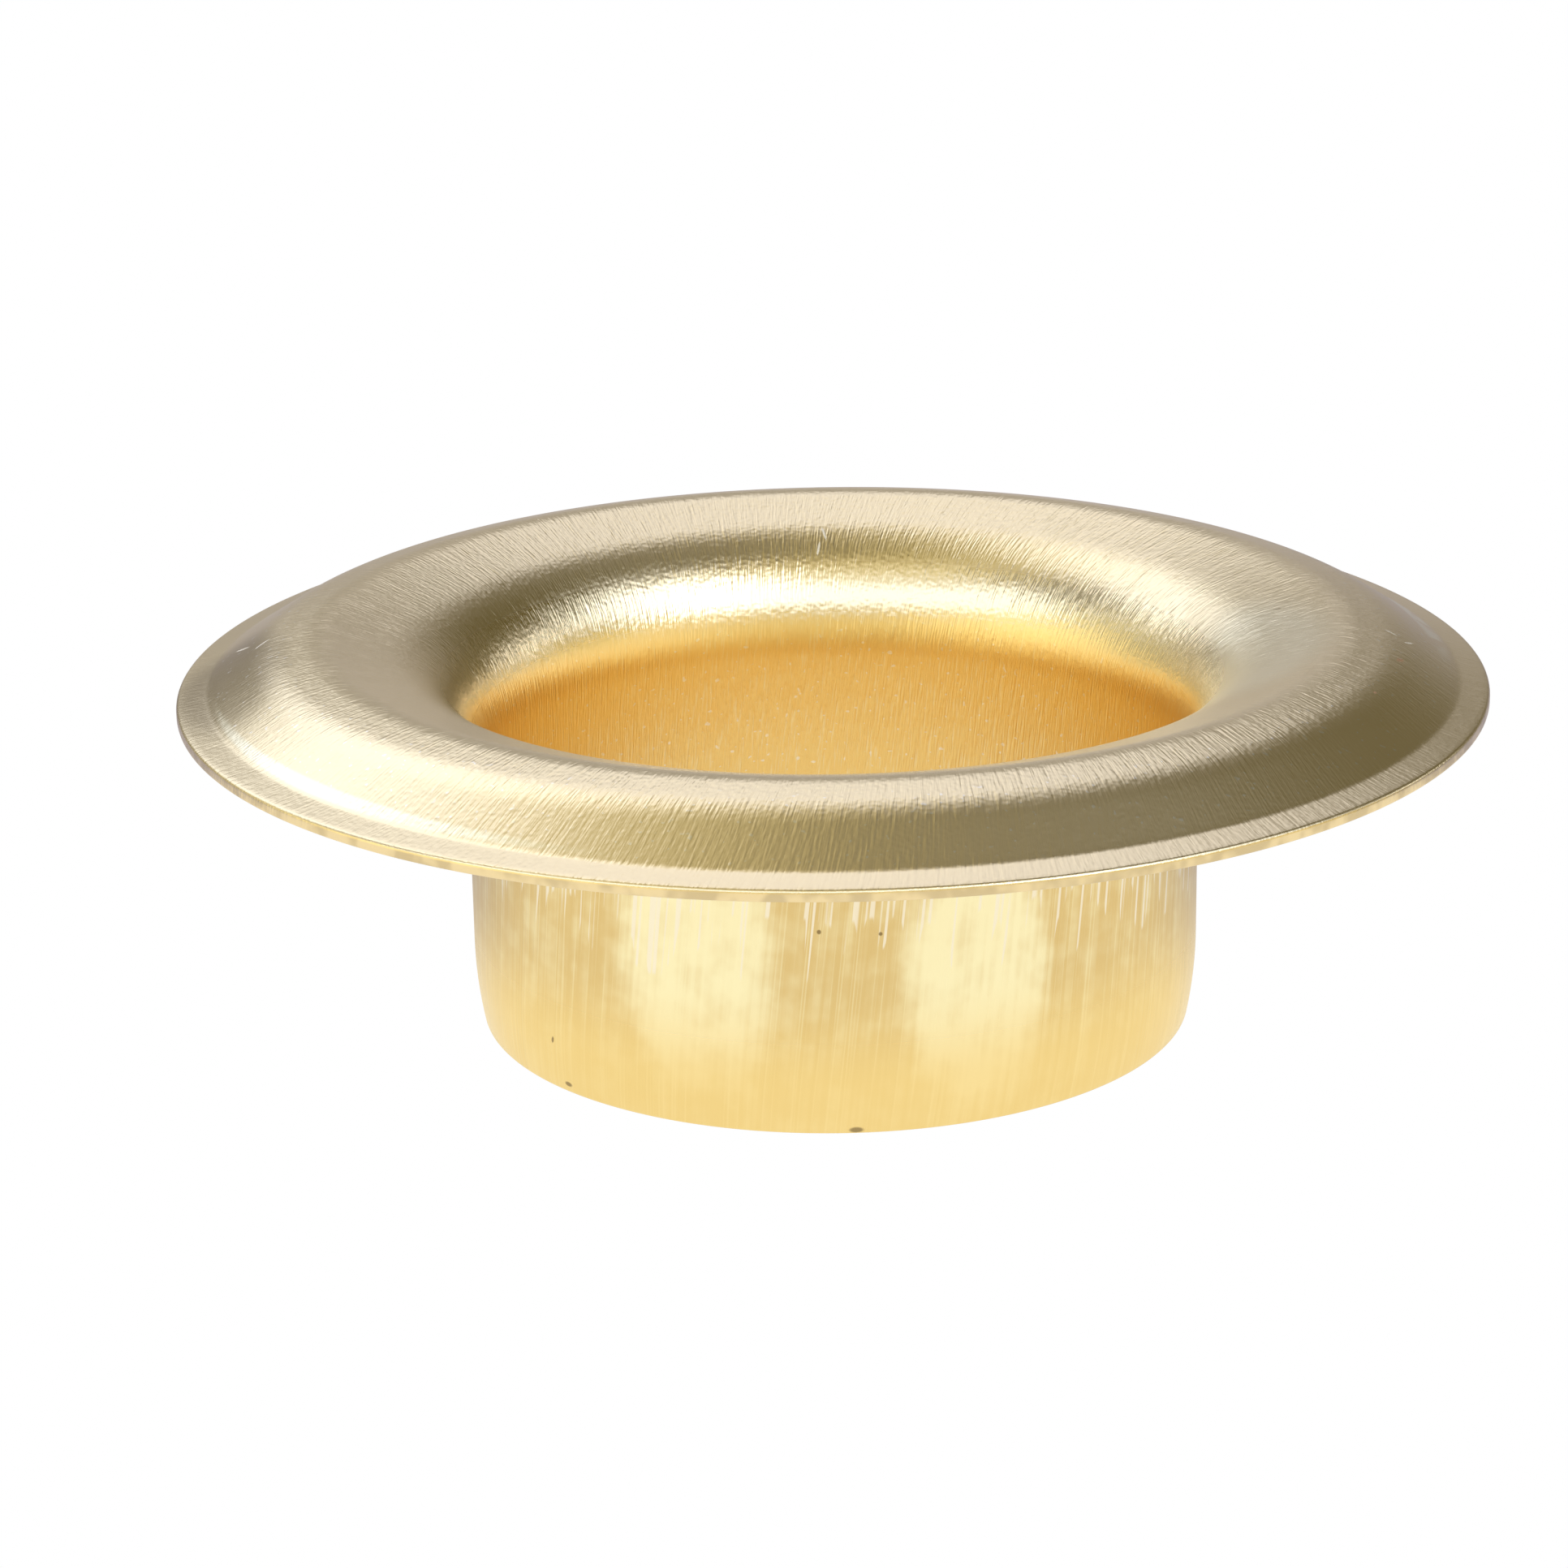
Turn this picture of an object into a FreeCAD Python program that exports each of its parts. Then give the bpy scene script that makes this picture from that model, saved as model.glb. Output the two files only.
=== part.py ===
import FreeCAD, Part
import math
import os

# Grommet eyelet: one drawn piece of brass sheet.
# A short open barrel stands on its cut end, and a domed flange rolls outwards from its top.
# Units are millimetres. The barrel's axis is Z, and z = 0 is the barrel's cut end.

# The sheet that the eyelet is drawn from
sheet_thickness = 0.25

# The barrel
bore_diameter = 10.2
total_height = 5.92
end_draw_in = 0.12        # how far the barrel's cut end closes in, on the outside
end_draw_length = 1.2     # the height over which it closes in
end_rounding = 0.06       # the outer corner of the cut end

# The roll from the bore wall up to a straight cone, and the flange's crest outside that
roll_radius = 1.95        # on the side that shows
cone_slope = math.radians(17.6)
crest_diameter = 14.88
crest_radius = 0.9

# Outside the crest the flange falls gently, then bends over a knuckle into a steeper straight shoulder.
fall_slope = math.radians(13)
fall_length = 0.5
knuckle_radius = 0.45
shoulder_slope = math.radians(33)

# The flat brim round the shoulder's foot
flange_diameter = 19.0
brim_drop = 0.72          # from the crest down to the brim's top
foot_fillet = 0.4         # the hollow curve where the shoulder meets the brim
edge_rounding = 0.1       # the brim's upper corner, rolled over when the blank was cut

# Places that follow from the sizes
bore_radius = bore_diameter / 2
barrel_radius = bore_radius + sheet_thickness
crest_place = crest_diameter / 2
flange_radius = flange_diameter / 2
brim_top = total_height - brim_drop
brim_underside = brim_top - sheet_thickness

# The barrel's cut end follows one long curve that starts upright at the end of the straight wall.
end_curve = (end_draw_length ** 2 + end_draw_in ** 2) / (2 * end_draw_in)
end_curve_inside = end_curve - sheet_thickness
end_corner_reach = math.sqrt((end_curve - end_rounding) ** 2 - (end_draw_length - end_rounding) ** 2)


def step(place, slope, across, down):
    """The place that lies so far out square to a slope, and so far down along it."""
    radius = place[0] + across * math.sin(slope) + down * math.cos(slope)
    height = place[1] + across * math.cos(slope) - down * math.sin(slope)
    return (radius, height)


# Centres of the bends and corners, each as its distance to the axis and its height.
# Each straight run touches the bends at both of its ends.
crest_centre = (crest_place, total_height - crest_radius)
roll_inset = crest_centre[0] - bore_radius - roll_radius
cone_length = (roll_inset + (roll_radius - crest_radius) * math.sin(cone_slope)) / math.cos(cone_slope)
roll_centre = step(crest_centre, -cone_slope, crest_radius - roll_radius, -cone_length)
roll_base = roll_centre[1]
knuckle_centre = step(crest_centre, fall_slope, crest_radius - knuckle_radius, fall_length)
foot_height = brim_top + foot_fillet
foot_rise = knuckle_centre[1] + (knuckle_radius + foot_fillet) * math.cos(shoulder_slope) - foot_height
shoulder_length = foot_rise / math.sin(shoulder_slope)
foot_centre = step(knuckle_centre, shoulder_slope, knuckle_radius + foot_fillet, shoulder_length)
foot_place = foot_centre[0]
edge_centre = (flange_radius - edge_rounding, brim_top - edge_rounding)
end_centre = (barrel_radius - end_curve, end_draw_length)
end_corner_centre = (end_centre[0] + end_corner_reach, end_rounding)

# Directions in the section, measured from the way that points straight out from the axis
OUTWARDS = 0
UPWARDS = math.pi / 2
INWARDS = math.pi
DOWNWARDS = -math.pi / 2
cone_angle = UPWARDS + cone_slope
fall_angle = UPWARDS - fall_slope
shoulder_angle = UPWARDS - shoulder_slope
end_cut_angle = -math.asin(end_draw_length / end_curve_inside)
end_corner_angle = math.atan2(end_rounding - end_draw_length, end_corner_reach)


def at(place):
    """A point of the section in space."""
    return FreeCAD.Vector(place[0], 0, place[1])


def on_circle(centre, radius, angle):
    """The place on a circle of the section that lies in one direction from its centre."""
    return (centre[0] + radius * math.cos(angle), centre[1] + radius * math.sin(angle))


def arc(centre, radius, first_angle, last_angle):
    """An arc of the section between two directions from its centre."""
    first = on_circle(centre, radius, first_angle)
    middle = on_circle(centre, radius, (first_angle + last_angle) / 2)
    last = on_circle(centre, radius, last_angle)
    return Part.Arc(at(first), at(middle), at(last)).toShape()


def line(first, last):
    """A straight stretch of the section."""
    return Part.LineSegment(at(first), at(last)).toShape()


def sheet_side(depth, end_angle, brim_end):
    """One side of the sheet, from the barrel's cut end up over the dome and out to the brim.

    The depth is 0 in the bore and over the dome, and the sheet's thickness
    round the barrel and under the flange. The end angle is where the side starts
    on the curve of the barrel's end, and the brim end is how far out it goes.
    """
    wall = bore_radius + depth
    brim = brim_top - depth
    roll = roll_radius - depth
    crest = crest_radius - depth
    knuckle = knuckle_radius - depth
    foot = foot_fillet + depth
    return [
        arc(end_centre, end_curve_inside + depth, end_angle, OUTWARDS),
        line((wall, end_draw_length), (wall, roll_base)),
        arc(roll_centre, roll, INWARDS, cone_angle),
        line(on_circle(roll_centre, roll, cone_angle), on_circle(crest_centre, crest, cone_angle)),
        arc(crest_centre, crest, cone_angle, fall_angle),
        line(on_circle(crest_centre, crest, fall_angle), on_circle(knuckle_centre, knuckle, fall_angle)),
        arc(knuckle_centre, knuckle, fall_angle, shoulder_angle),
        line(on_circle(knuckle_centre, knuckle, shoulder_angle),
             on_circle(foot_centre, foot, shoulder_angle - math.pi)),
        arc(foot_centre, foot, shoulder_angle - math.pi, DOWNWARDS),
        line((foot_place, brim), (brim_end, brim)),
    ]


def brim_edge():
    """The brim's rolled-over corner and the cut face below it."""
    return [
        arc(edge_centre, edge_rounding, UPWARDS, OUTWARDS),
        line((flange_radius, edge_centre[1]), (flange_radius, brim_underside)),
    ]


def barrel_end():
    """The eased outer corner of the barrel's cut end and the flat face that it stands on."""
    inner_corner = on_circle(end_centre, end_curve_inside, end_cut_angle)
    return [
        arc(end_corner_centre, end_rounding, end_corner_angle, DOWNWARDS),
        line((end_corner_centre[0], 0), (inner_corner[0], 0)),
    ]


def eyelet():
    """The sheet's section, turned once round the axis."""
    shown = sheet_side(0, end_cut_angle, edge_centre[0])
    hidden = sheet_side(sheet_thickness, end_corner_angle, flange_radius)
    section = Part.Wire(shown + brim_edge() + hidden[::-1] + barrel_end())
    axis_point = FreeCAD.Vector(0, 0, 0)
    axis = FreeCAD.Vector(0, 0, 1)
    return Part.Face(section).revolve(axis_point, axis, 360)


os.makedirs("parts", exist_ok=True)
piece = eyelet()
piece.exportStep("parts/eyelet.step")

print("shape", piece.ShapeType, "solids", len(piece.Solids), "valid", piece.isValid())
print("volume", round(piece.Volume, 3), "box", piece.optimalBoundingBox())
print("bore wall straight from", end_draw_length, "to", round(roll_base, 3))
print("brim underside at", round(brim_underside, 3), "from", round(foot_place, 3), "to", round(flange_radius, 3))
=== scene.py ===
import math

import bmesh
import bpy
from mathutils import Matrix, Vector


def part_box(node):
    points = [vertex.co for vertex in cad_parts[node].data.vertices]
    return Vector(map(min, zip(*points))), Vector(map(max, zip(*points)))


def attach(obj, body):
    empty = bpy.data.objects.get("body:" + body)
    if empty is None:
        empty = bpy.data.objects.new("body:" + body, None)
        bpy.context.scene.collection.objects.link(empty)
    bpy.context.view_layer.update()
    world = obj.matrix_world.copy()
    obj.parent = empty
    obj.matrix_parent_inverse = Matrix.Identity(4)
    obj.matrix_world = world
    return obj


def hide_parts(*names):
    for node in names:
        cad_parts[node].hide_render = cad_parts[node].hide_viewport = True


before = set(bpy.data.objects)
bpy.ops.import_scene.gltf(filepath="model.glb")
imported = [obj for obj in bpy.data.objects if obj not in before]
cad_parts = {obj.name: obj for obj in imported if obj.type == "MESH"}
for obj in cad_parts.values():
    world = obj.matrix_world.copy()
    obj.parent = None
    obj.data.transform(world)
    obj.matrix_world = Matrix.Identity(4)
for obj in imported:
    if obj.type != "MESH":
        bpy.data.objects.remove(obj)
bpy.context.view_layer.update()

# The eyelet is one round blank of thin brass sheet. A punch draws its middle down into the barrel and
# trims it open, and a shaped die rolls the rest outwards into a domed flange with a narrow flat brim.
# The drawing leaves fine streaks that run over the flange and down the barrel.
MM = 0.001
node_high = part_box("eyelet")[1]
flange_radius = node_high.x
total_height = node_high.z
sheet_thickness = 0.25 * MM
bore_radius = 5.1 * MM
crest_place = 7.44 * MM
roll_radius = 1.95 * MM
crest_radius = 0.9 * MM
knuckle_radius = 0.45 * MM
fall_length = 0.5 * MM
brim_drop = 0.72 * MM
foot_fillet = 0.4 * MM
cone_slope = math.radians(17.6)
fall_slope = math.radians(13)
shoulder_slope = math.radians(33)
end_draw_in = 0.12 * MM
end_draw_length = 1.2 * MM
end_rounding = 0.06 * MM

# The die left the knuckle softer on the side that shows, and cutting the blank dragged its upper edge
# down a little.
soft_knuckle = 1.6 * MM
brim_slope = math.radians(13.5)
brim_edge_drop = 0.815 * MM      # from the crest down to the brim's upper edge
brim_hollow = 0.3 * MM           # the hollow curve between the shoulder and the brim
edge_rounding = 0.06 * MM
burr_rounding = 0.03 * MM

# Places in the section that follow from those sizes
brim_underside = total_height - brim_drop - sheet_thickness
roll_inset = crest_place - bore_radius - roll_radius
cone_length = (roll_inset + (roll_radius - crest_radius) * math.sin(cone_slope)) / math.cos(cone_slope)
roll_drop = cone_length * math.sin(cone_slope) + (roll_radius - crest_radius) * math.cos(cone_slope)
wall_length = total_height - crest_radius - roll_drop - end_draw_length
knuckle_drop = (crest_radius - (crest_radius - knuckle_radius) * math.cos(fall_slope)
                + fall_length * math.sin(fall_slope))
foot_rise = brim_drop - foot_fillet - knuckle_drop + (knuckle_radius + foot_fillet) * math.cos(shoulder_slope)
shoulder_length = foot_rise / math.sin(shoulder_slope)
knuckle_place = (crest_place + (crest_radius - knuckle_radius) * math.sin(fall_slope)
                 + fall_length * math.cos(fall_slope))
foot_place = (knuckle_place + (knuckle_radius + foot_fillet) * math.sin(shoulder_slope)
              + shoulder_length * math.cos(shoulder_slope))
end_curve = (end_draw_length ** 2 + end_draw_in ** 2) / (2 * end_draw_in)
bore_end_curve = end_curve - sheet_thickness
bore_end_turn = math.asin(end_draw_length / bore_end_curve)
bore_end_radius = bore_radius - bore_end_curve * (1 - math.cos(bore_end_turn))
end_corner_reach = math.sqrt((end_curve - end_rounding) ** 2 - (end_draw_length - end_rounding) ** 2)
end_corner_turn = math.atan2(end_draw_length - end_rounding, end_corner_reach)

section = bmesh.new()
along = section.verts.layers.float.new("along")
QUARTER = math.pi / 2
SECTION_NORMAL = Vector((0, -1, 0))


class Pen:
    """Draws the sheet's section from its first point, as straight runs and bends that follow each other."""

    def __init__(self, radius, height, heading):
        self.tip = section.verts.new(Vector((radius, 0, height)))
        self.heading = heading
        self.drawn = [self.tip]

    def straight(self, length, steps):
        stride = Vector((math.cos(self.heading), 0, math.sin(self.heading))) * length / steps
        for _ in range(steps):
            self.tip = bmesh.ops.extrude_vert_indiv(section, verts=[self.tip])["verts"][0]
            bmesh.ops.translate(section, verts=[self.tip], vec=stride)
            self.drawn.append(self.tip)

    def bend(self, radius, turn, steps):
        """A positive turn bends to the left of the way the pen runs."""
        side = math.copysign(radius, turn)
        centre = self.tip.co + side * Vector((-math.sin(self.heading), 0, math.cos(self.heading)))
        for _ in range(steps):
            made = bmesh.ops.spin(section, geom=[self.tip], cent=centre, axis=SECTION_NORMAL,
                                  angle=turn / steps, steps=1, use_merge=False)
            self.tip = next(item for item in made["geom_last"] if isinstance(item, bmesh.types.BMVert))
            self.drawn.append(self.tip)
        self.heading += turn

    def place(self):
        """How far the pen has drawn, in millimetres."""
        pairs = zip(self.drawn, self.drawn[1:])
        return sum((after.co - before.co).length for before, after in pairs) / MM


# The side that shows, from the barrel's cut end up the bore and over the dome to the knuckle
soft_reach = (soft_knuckle - knuckle_radius) * math.tan((shoulder_slope - fall_slope) / 2)
pen = Pen(bore_end_radius, 0, QUARTER - bore_end_turn)
pen.bend(bore_end_curve, bore_end_turn, steps=6)
pen.straight(wall_length, steps=8)
roll_start = pen.place()
pen.bend(roll_radius, cone_slope - QUARTER, steps=26)
pen.straight(cone_length, steps=6)
pen.bend(crest_radius, -cone_slope - fall_slope, steps=14)
pen.straight(fall_length - soft_reach, steps=3)
pen.bend(soft_knuckle, fall_slope - shoulder_slope, steps=12)
knuckle_end = pen.place()

# The shoulder and the brim are straight runs that meet in the hollow. The blank's cut edge follows.
across = flange_radius - pen.tip.co.x
down = pen.tip.co.z - (total_height - brim_edge_drop)
opening = math.sin(shoulder_slope - brim_slope)
shoulder_run = (down * math.cos(brim_slope) - across * math.sin(brim_slope)) / opening
brim_run = (across * math.sin(shoulder_slope) - down * math.cos(shoulder_slope)) / opening
hollow_reach = brim_hollow * math.tan((shoulder_slope - brim_slope) / 2)
edge_reach = edge_rounding * math.tan((QUARTER - brim_slope) / 2)
pen.straight(shoulder_run - hollow_reach, steps=8)
pen.bend(brim_hollow, shoulder_slope - brim_slope, steps=6)
pen.straight(brim_run - hollow_reach - edge_reach, steps=5)
pen.bend(edge_rounding, brim_slope - QUARTER, steps=5)
cut_start = pen.place()
pen.straight(pen.tip.co.z - brim_underside - burr_rounding, steps=3)
pen.bend(burr_rounding, -QUARTER, steps=3)
cut_end = pen.place()

# The hidden side, back under the flange and down the barrel's outside to the cut end
pen.straight(flange_radius - foot_place - burr_rounding, steps=3)
pen.bend(foot_fillet + sheet_thickness, -shoulder_slope, steps=8)
pen.straight(shoulder_length, steps=5)
pen.bend(knuckle_radius - sheet_thickness, shoulder_slope - fall_slope, steps=4)
pen.straight(fall_length, steps=2)
pen.bend(crest_radius - sheet_thickness, cone_slope + fall_slope, steps=8)
pen.straight(cone_length, steps=4)
pen.bend(roll_radius - sheet_thickness, QUARTER - cone_slope, steps=14)
barrel_start = pen.place()
pen.straight(wall_length, steps=12)
pen.bend(end_curve, -end_corner_turn, steps=8)
barrel_end = pen.place()
pen.bend(end_rounding, end_corner_turn - QUARTER, steps=4)

# The last edge of the cut end's flat face closes the section.
END_FACE_STEPS = 3
pen.straight((pen.tip.co.x - bore_end_radius) * (1 - 1 / END_FACE_STEPS), steps=END_FACE_STEPS - 1)
section.edges.new((pen.tip, pen.drawn[0]))

# Each point keeps its place along the section, in millimetres, for the material to read.
for before, after in zip(pen.drawn, pen.drawn[1:]):
    after[along] = before[along] + (after.co - before.co).length / MM

# An eighth of the turn is spun, and doubled three times to the whole ring.
EIGHTH_TURN = math.pi / 4
EIGHTH_STEPS = 60
MERGE_DISTANCE = 0.001 * MM
SHARP_ANGLE = math.radians(40)
UP = Vector((0, 0, 1))
bmesh.ops.spin(section, geom=section.verts[:] + section.edges[:], cent=Vector(), axis=UP,
               angle=EIGHTH_TURN, steps=EIGHTH_STEPS, use_merge=False)
for turn in (EIGHTH_TURN, 2 * EIGHTH_TURN, 4 * EIGHTH_TURN):
    made = bmesh.ops.duplicate(section, geom=section.verts[:] + section.edges[:] + section.faces[:])
    turned = [item for item in made["geom"] if isinstance(item, bmesh.types.BMVert)]
    bmesh.ops.rotate(section, verts=turned, cent=Vector(), matrix=Matrix.Rotation(turn, 3, "Z"))
bmesh.ops.remove_doubles(section, verts=section.verts[:], dist=MERGE_DISTANCE)
bmesh.ops.recalc_face_normals(section, faces=section.faces[:])
for face in section.faces:
    face.smooth = True
eyelet_mesh = bpy.data.meshes.new("eyelet_dressed")
section.to_mesh(eyelet_mesh)
section.free()
eyelet_mesh.set_sharp_from_angle(angle=SHARP_ANGLE)
eyelet = bpy.data.objects.new("eyelet_dressed", eyelet_mesh)
bpy.context.scene.collection.objects.link(eyelet)


class Wiring:
    """Adds nodes to one node tree. An input is a socket to link from, or a plain value to set."""

    def __init__(self, tree):
        self.tree = tree

    def put(self, socket, value):
        if isinstance(value, bpy.types.NodeSocket):
            self.tree.links.new(value, socket)
        else:
            socket.default_value = value

    def add(self, kind, inputs, **settings):
        node = self.tree.nodes.new("ShaderNode" + kind)
        for name, value in settings.items():
            setattr(node, name, value)
        for name, value in inputs.items():
            self.put(node.inputs[name], value)
        return node.outputs

    def math(self, operation, *values):
        return self.add("Math", dict(enumerate(values)), operation=operation)[0]

    def vector(self, operation, *values):
        return self.add("VectorMath", dict(enumerate(values)), operation=operation)[0]

    def fade(self, value, start, end, low=0.0, high=1.0):
        """Eases from low at the start to high at the end."""
        places = {"Value": value, "From Min": start, "From Max": end, "To Min": low, "To Max": high}
        return self.add("MapRange", places, interpolation_type="SMOOTHSTEP")[0]

    def band(self, value, start, end, softness):
        """1 between two places, and 0 outside them."""
        rise = self.fade(value, start - softness, start + softness)
        return self.math("MULTIPLY", rise, self.fade(value, end + softness, end - softness))

    def blend(self, factor, first, second):
        ends = {"Factor": factor, "A": first, "B": second}
        return self.add("Mix", ends, data_type="RGBA")["Result"]

    def noise(self, vector, scale, detail, roughness=0.5):
        """Soft noise, which lies mostly between 0.25 and 0.75."""
        ends = {"Vector": vector, "Scale": scale, "Detail": detail, "Roughness": roughness}
        return self.add("TexNoise", ends)["Fac"]


brass = bpy.data.materials.new("drawn_brass")
brass.use_nodes = True
wire = Wiring(brass.node_tree)
body = wire.add("TexCoord", {})["Object"]
place = wire.add("Attribute", {}, attribute_name="along")["Fac"]
east, north = wire.add("SeparateXYZ", {"Vector": body})[:2]
round_way = wire.vector("NORMALIZE", wire.add("CombineXYZ", {"X": east, "Y": north})[0])

# The sheet laid flat, in millimetres at the crest. Bearing 0 is at the back and 90 at the right, in
# degrees, and the flat sheet's two ends meet at the seam.
SEAM_BEARING = 45
seam = math.radians(SEAM_BEARING)
bearing = wire.math("WRAP", wire.math("ARCTAN2", east, north), seam + 2 * math.pi, seam)
unrolled = wire.add("CombineXYZ", {"X": wire.math("MULTIPLY", bearing, crest_place / MM), "Y": place})[0]

# The grain leans a little more, the farther it runs.
GRAIN_LEAN = 0.02                # in radians for each millimetre
lean_angle = wire.math("MULTIPLY", place, GRAIN_LEAN)
leaning_way = wire.add("VectorRotate", {"Vector": round_way, "Angle": lean_angle}, rotation_type="Z_AXIS")[0]


def streaks(width, length, detail):
    """Noise drawn out along the sheet's section; the sizes are in millimetres, at the crest."""
    spread = wire.vector("MULTIPLY", leaning_way, (crest_place / MM / width, crest_place / MM / width, 0))
    drawn = wire.add("CombineXYZ", {"Z": wire.math("DIVIDE", place, length)})[0]
    return wire.noise(wire.vector("ADD", spread, drawn), 1.0, detail)


def mark(turn, at, length, width, lean=0.0):
    """A small oval patch, 1 in its middle, at a bearing and a place along the section.

    Its length runs along the section and its width round the axis, unless it leans.
    """
    unwound = (turn - SEAM_BEARING) % 360 + SEAM_BEARING
    spot = wire.vector("SUBTRACT", unrolled, (math.radians(unwound) * crest_place / MM, at, 0))
    if lean:
        turning = {"Vector": spot, "Angle": math.radians(lean)}
        spot = wire.add("VectorRotate", turning, rotation_type="Z_AXIS")[0]
    reach = wire.vector("MULTIPLY", spot, (2 / width, 2 / length, 0))
    distance = wire.add("VectorMath", {"Vector": reach}, operation="LENGTH")["Value"]
    return wire.fade(distance, 1.2, 0.6)


def most(*masks):
    """The strongest of some masks."""
    total = masks[0]
    for mask in masks[1:]:
        total = wire.math("MAXIMUM", total, mask)
    return total


def share(mask, strength):
    """A mask at part of its strength."""
    return wire.math("MULTIPLY", mask, strength)


# The flange is a paler champagne. The bore and the barrel, which the punch stretched most, are a
# richer gold.
CHAMPAGNE = (0.90, 0.76, 0.49, 1)
GOLD = (0.95, 0.70, 0.27, 1)
BARREL_GOLD = (0.76, 0.585, 0.28, 1)
# A lighter gold for painted highlights on the barrel and in the bore
HIGHLIGHT_GOLD = (1.00, 0.95, 0.66, 1)
BAND_GOLD = (0.95, 0.74, 0.32, 1)
barrel_side = wire.fade(place, cut_end + 0.1, cut_end + 0.6)
bore_side = wire.fade(place, roll_start + 0.95, roll_start + 0.2)
flange_side = wire.math("SUBTRACT", 1, most(bore_side, barrel_side))
tone = wire.blend(barrel_side, wire.blend(bore_side, CHAMPAGNE, GOLD), BARREL_GOLD)

# Satin grain is drawn along the section. Down the barrel it turns into long straight lines, and
# outside the knuckle it is fainter.
GRAIN_DEPTH = 0.010 * MM
fine_grain = streaks(0.04, wire.fade(barrel_side, 0, 1, 0.4, 4.0), 1.0)
coarse_grain = streaks(0.16, wire.fade(barrel_side, 0, 1, 0.8, 6.0), 1.0)
mottle = wire.noise(body, 1 / (0.07 * MM), 0.0)
grain = wire.math("ADD", share(fine_grain, 0.9), share(coarse_grain, 0.45))
surface = wire.math("MULTIPLY_ADD", mottle, wire.fade(flange_side, 0, 1, 0.15, 0.45), grain)
surface = wire.math("MULTIPLY", surface, wire.fade(place, knuckle_end - 0.6, knuckle_end, 1.0, 0.55))

# Two broad zones of the barrel, with ragged, streaky borders, are painted highlights of the front lights, and
# fine bright lines on it and in the bore are painted glints. Its end has a smoother, richer band, whose
# brighter gold is partly a painted reflection of the white floor.
cloud = wire.noise(body, 1 / (0.5 * MM), 2.0, 0.6)
ragged = wire.math("ADD", wire.fade(coarse_grain, 0.30, 0.70, -0.18, 0.18),
                   wire.fade(cloud, 0.25, 0.75, -0.25, 0.25))
# Painted highlights: two broad zones at the front left and front right of the barrel
highlight_zones = most(mark(-158, barrel_start + 1.2, 4.2, 3.4), mark(159, barrel_start + 1.5, 4.6, 3.1))
highlight_mask = wire.fade(wire.math("ADD", highlight_zones, ragged), -0.3, 1.2)
glints = wire.math("MULTIPLY", wire.fade(fine_grain, 0.54, 0.72), most(bore_side, barrel_side))
end_band = wire.fade(place, barrel_end - 2.2, barrel_end - 0.6)
# The zones and the fine lines are painted highlights in a lighter gold.
tone = wire.blend(wire.math("MULTIPLY", highlight_mask, barrel_side), tone, HIGHLIGHT_GOLD)
tone = wire.blend(share(glints, 0.35), tone, HIGHLIGHT_GOLD)
# The end band is smoother, and its brighter gold is partly a painted reflection of the floor.
tone = wire.blend(share(end_band, 0.75), tone, BAND_GOLD)

# Scratches from the die hang from under the brim, each as far as its own reach, and are painted pale as the
# highlights that they catch.
scratch_reach = wire.fade(streaks(0.2, 40.0, 0.0), 0.3, 0.8, barrel_start + 0.6, barrel_start + 1.6)
above_reach = wire.fade(wire.math("SUBTRACT", scratch_reach, place), -0.02, 0.06)
scratch_highlights = wire.math("MULTIPLY", wire.fade(streaks(0.08, 4.0, 0.0), 0.57, 0.66),
                      wire.math("MULTIPLY", above_reach, barrel_side))

# Small marks from handling: pale scratches and specks, a few dark spots, and one rust-coloured smear
pale_marks = most(
    mark(-0.2, 5.95, 0.34, 0.05, -14), mark(-1.1, 5.62, 0.30, 0.05, 12),
    mark(95.5, 7.95, 0.24, 0.05, 30), mark(96.5, 8.22, 0.26, 0.05, -50),
    mark(-88, 8.55, 0.40, 0.05, 40), mark(-91, 8.15, 0.30, 0.05, -35))
dark_marks = most(
    mark(83, 6.45, 0.16, 0.06, 35), mark(-177, 15.75, 0.07, 0.09), mark(174, 15.8, 0.06, 0.08),
    mark(-130.5, 18.0, 0.12, 0.07, 30), mark(-133, 18.64, 0.08, 0.22), mark(177.8, 18.72, 0.10, 0.30))
rust = most(mark(103.5, 8.12, 0.10, 0.20, 20), mark(115, 8.10, 0.06, 0.08))
speck_zone = most(wire.band(place, 7.7, 9.0, 0.1), wire.fade(place, roll_start + 0.9, roll_start + 0.3))
specks = wire.math("MULTIPLY", wire.fade(mottle, 0.74, 0.82), speck_zone)

# The blank's cut edge is mottled with duller patches.
edge_band = wire.band(place, cut_start - 0.02, cut_end + 0.05, 0.03)
edge_patches = wire.math("MULTIPLY", wire.fade(cloud, 0.42, 0.62), edge_band)

# Shade is painted as a dull patch at the left end, and a highlight is painted inside the roll on the right.
# Painted highlights lie as pale bands in the hollow above the brim, at the front left and broken up at the
# far right.
painted_shade_patch = mark(-97, 8.7, 1.9, 3.6)
roll_highlight_patch = mark(99, roll_start + 2.1, 2.4, 6.0)
# Painted highlights along the hollow above the brim
broken_highlight = wire.math("MULTIPLY", mark(76, 8.85, 0.45, 4.6), wire.fade(cloud, 0.38, 0.52))
hollow_highlights = most(mark(-130, 8.95, 0.22, 7.0), broken_highlight)

PALE = (0.97, 0.93, 0.84, 1)
HIGHLIGHT_BRASS = (1.00, 0.92, 0.68, 1)
DULL = (0.22, 0.16, 0.09, 1)
RUST = (0.42, 0.17, 0.10, 1)
# Painted shade at the left end
tone = wire.blend(share(painted_shade_patch, 0.45), tone, DULL)
# Painted highlights in a pale brass: inside the roll on the right, and along the hollow above the brim
tone = wire.blend(most(share(roll_highlight_patch, 0.7), hollow_highlights), tone, HIGHLIGHT_BRASS)
tone = wire.blend(share(edge_patches, 0.3), tone, DULL)
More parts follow.
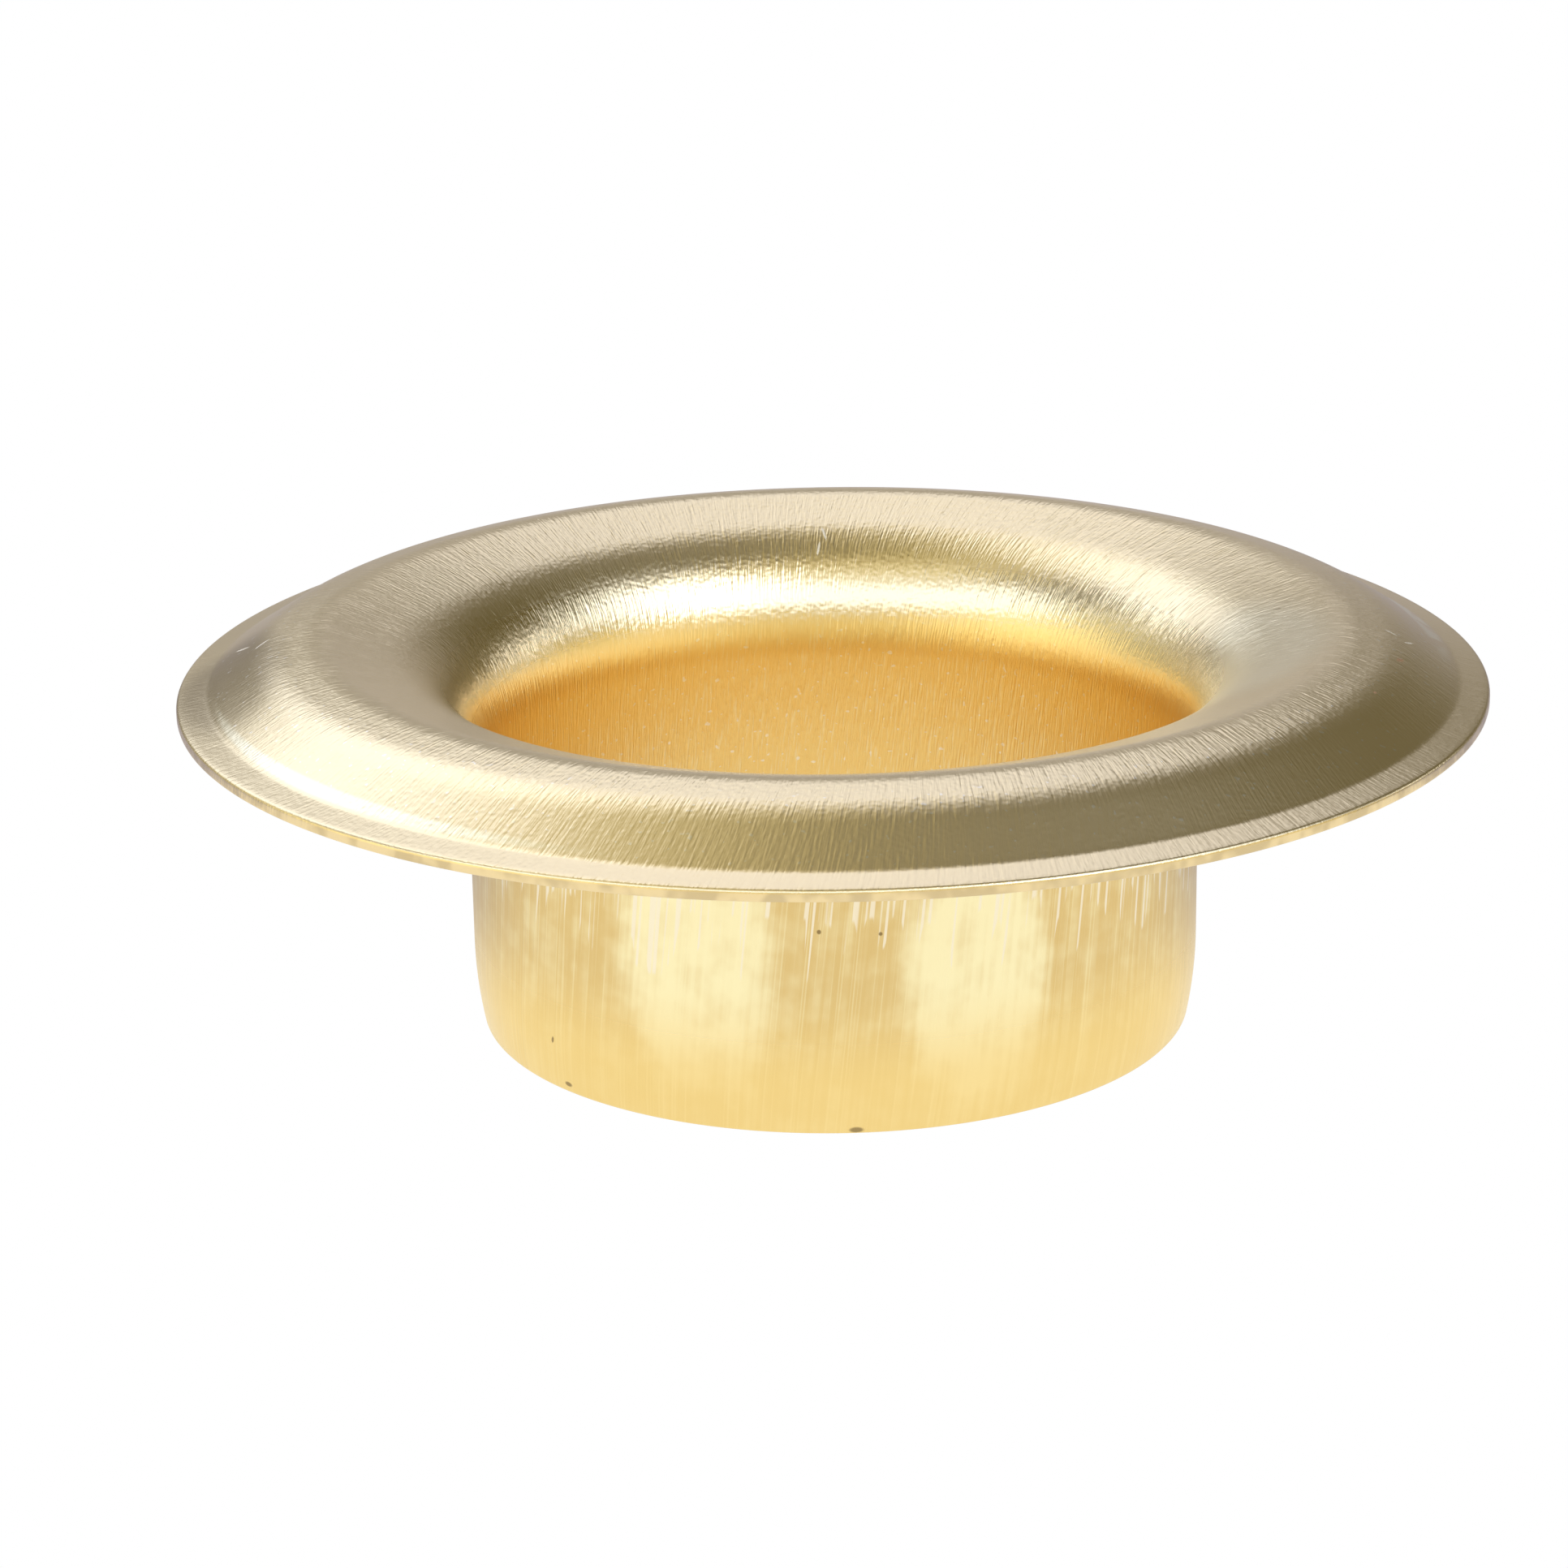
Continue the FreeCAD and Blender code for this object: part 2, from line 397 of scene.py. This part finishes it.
# The scratches' paleness is partly a painted highlight.
tone = wire.blend(most(share(pale_marks, 0.9), share(specks, 0.7), share(scratch_highlights, 0.8)), tone, PALE)
tone = wire.blend(share(dark_marks, 0.75), tone, DULL)
tone = wire.blend(share(rust, 0.6), tone, RUST)

# The satin is smoother low in the roll and at the barrel's end, and rougher in the marks.
SATIN_ROUGHNESS = 0.33
roll_band = wire.band(place, roll_start + 0.6, roll_start + 1.7, 0.3)
roughness = wire.math("MULTIPLY_ADD", roll_band, -0.07, SATIN_ROUGHNESS)
roughness = wire.math("MULTIPLY_ADD", end_band, -0.10, roughness)
roughness = wire.math("MULTIPLY_ADD", most(pale_marks, dark_marks, rust), 0.25, roughness)

shader = brass.node_tree.nodes["Principled BSDF"]
shader.inputs["Metallic"].default_value = 1
wire.put(shader.inputs["Base Color"], tone)
wire.put(shader.inputs["Roughness"], roughness)
wire.put(shader.inputs["Normal"], wire.add("Bump", {"Height": surface, "Distance": GRAIN_DEPTH})["Normal"])
eyelet_mesh.materials.append(brass)
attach(eyelet, "root")
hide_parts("eyelet")

# The floor is a plain white light table, which loses its edges against the backdrop. Under the eyelet its
# glow is painted light, cool at the back and warm at the front, for where the key lights would shine on it.
FLOOR_RADIUS = 0.6
WHITE = (1, 1, 1, 1)
COOL_GLOW = (0.42, 0.41, 0.54, 1)
WARM_GLOW = (1.00, 0.94, 0.80, 1)
floor_mesh = bmesh.new()
bmesh.ops.create_circle(floor_mesh, cap_ends=True, segments=96, radius=FLOOR_RADIUS)
floor_data = bpy.data.meshes.new("floor")
floor_mesh.to_mesh(floor_data)
floor_mesh.free()
floor = bpy.data.objects.new("floor", floor_data)
bpy.context.scene.collection.objects.link(floor)
table = bpy.data.materials.new("light_table")
table.use_nodes = True
table.node_tree.nodes.remove(table.node_tree.nodes["Principled BSDF"])
wire = Wiring(table.node_tree)
seen = wire.add("LightPath", {})["Is Camera Ray"]
north = wire.add("SeparateXYZ", {"Vector": wire.add("TexCoord", {})["Object"]})[1]
# Painted light: the floor's glow, which only reflections see
painted_floor_light = wire.blend(wire.fade(north, 10 * MM, -2 * MM), COOL_GLOW, WARM_GLOW)
shine = wire.add("Emission", {"Color": wire.blend(seen, painted_floor_light, WHITE)})[0]
wire.put(table.node_tree.nodes["Material Output"].inputs["Surface"], shine)
floor_data.materials.append(table)

# The light is a plain studio's: soft panels round the object in a dim room. Each panel is a patch of sky,
# given in degrees. Bearing 0 is behind the object and 90 is to its right; the height is above the floor.
ROOM_LIGHT = {"X": 0.10, "Y": 0.08, "Z": 0.02}
KEY_LIGHT = (1.52, 1.68, 2.05)
BACKDROP = (0.98, 0.98, 0.98, 1)
world = bpy.data.worlds.new("studio")
world.use_nodes = True
bpy.context.scene.world = world
wire = Wiring(world.node_tree)
sky = wire.add("SeparateXYZ", {"Vector": wire.add("TexCoord", {})["Generated"]})
sky_bearing = wire.math("ARCTAN2", sky[0], sky[1])
sky_height = wire.math("ARCSINE", sky[2])


def panel(under, bearing_middle, half_width, side_softness, low, high, softness, colour):
    """Adds one soft panel to what is under it."""
    turned = wire.math("SUBTRACT", sky_bearing, math.radians(bearing_middle))
    aside = wire.math("ABSOLUTE", wire.math("WRAP", turned, math.pi, -math.pi))
    across = wire.fade(aside, math.radians(half_width + side_softness),
                       math.radians(half_width - side_softness))
    upright = wire.band(sky_height, math.radians(low), math.radians(high), math.radians(softness))
    strength = wire.math("MULTIPLY", across, upright)
    return wire.vector("MULTIPLY_ADD", strength, colour, under)


light = wire.add("CombineXYZ", ROOM_LIGHT)[0]
light = panel(light, 135, 52, 6, 29, 58, 3, KEY_LIGHT)                # front key, right half
light = panel(light, -133, 40, 6, 29, 50, 3, KEY_LIGHT)               # front key, left half
light = panel(light, 180, 100, 15, -5, 24, 3, (0.78, 0.64, 0.28))     # front, low
light = panel(light, 131, 9, 6, 28, 64, 10, (2.40, 2.50, 2.80))       # tall strip, front right
light = panel(light, 65, 4, 8, 14, 22, 5, (5.0, 5.2, 5.8))            # small lamp, right
light = panel(light, -40, 21, 4, 21, 62, 4, (1.42, 1.54, 1.90))       # window behind, left half
light = panel(light, 3, 21, 4, 33, 60, 6, (1.06, 1.12, 1.42))         # window behind, right half
light = panel(light, -97, 45, 26, -9, 33, 4, (0.58, 0.56, 0.40))      # left wall
light = panel(light, 4, 14, 24, -4, 17, 10, (0.62, 0.62, 0.74))       # far wall
light = panel(light, -115, 121, 8, 55, 81, 5, (0.40, 0.34, 0.14))     # ceiling
light = panel(light, -135, 38, 16, 50, 70, 8, (0.50, 0.52, 0.54))     # ceiling, front left
seen = wire.add("LightPath", {})["Is Camera Ray"]
wire.put(world.node_tree.nodes["Background"].inputs["Color"], wire.blend(seen, light, BACKDROP))

# The camera stands where the photograph was taken from.
VIEW_DOWN = math.radians(18.33)
VIEW_ROLL = math.radians(0.94)
VIEW_DISTANCE = 65.06 * MM
VIEW_AIM = Vector((-0.722, 0, 3.388)) * MM
SENSOR_WIDTH = 36                # in millimetres, as the lens is
LENS = 101.46
camera_data = bpy.data.cameras.new("camera")
camera_data.sensor_width = SENSOR_WIDTH
camera_data.lens = LENS
camera_data.clip_start = 1 * MM
camera = bpy.data.objects.new("camera", camera_data)
bpy.context.scene.collection.objects.link(camera)
view_turn = Matrix.Rotation(QUARTER - VIEW_DOWN, 4, "X")
view_back = Vector((0, -math.cos(VIEW_DOWN), math.sin(VIEW_DOWN))) * VIEW_DISTANCE
camera.matrix_world = (Matrix.Translation(VIEW_AIM + view_back) @ view_turn
                       @ Matrix.Rotation(-VIEW_ROLL, 4, "Z"))
bpy.context.scene.camera = camera
bpy.context.scene.view_settings.view_transform = "Standard"
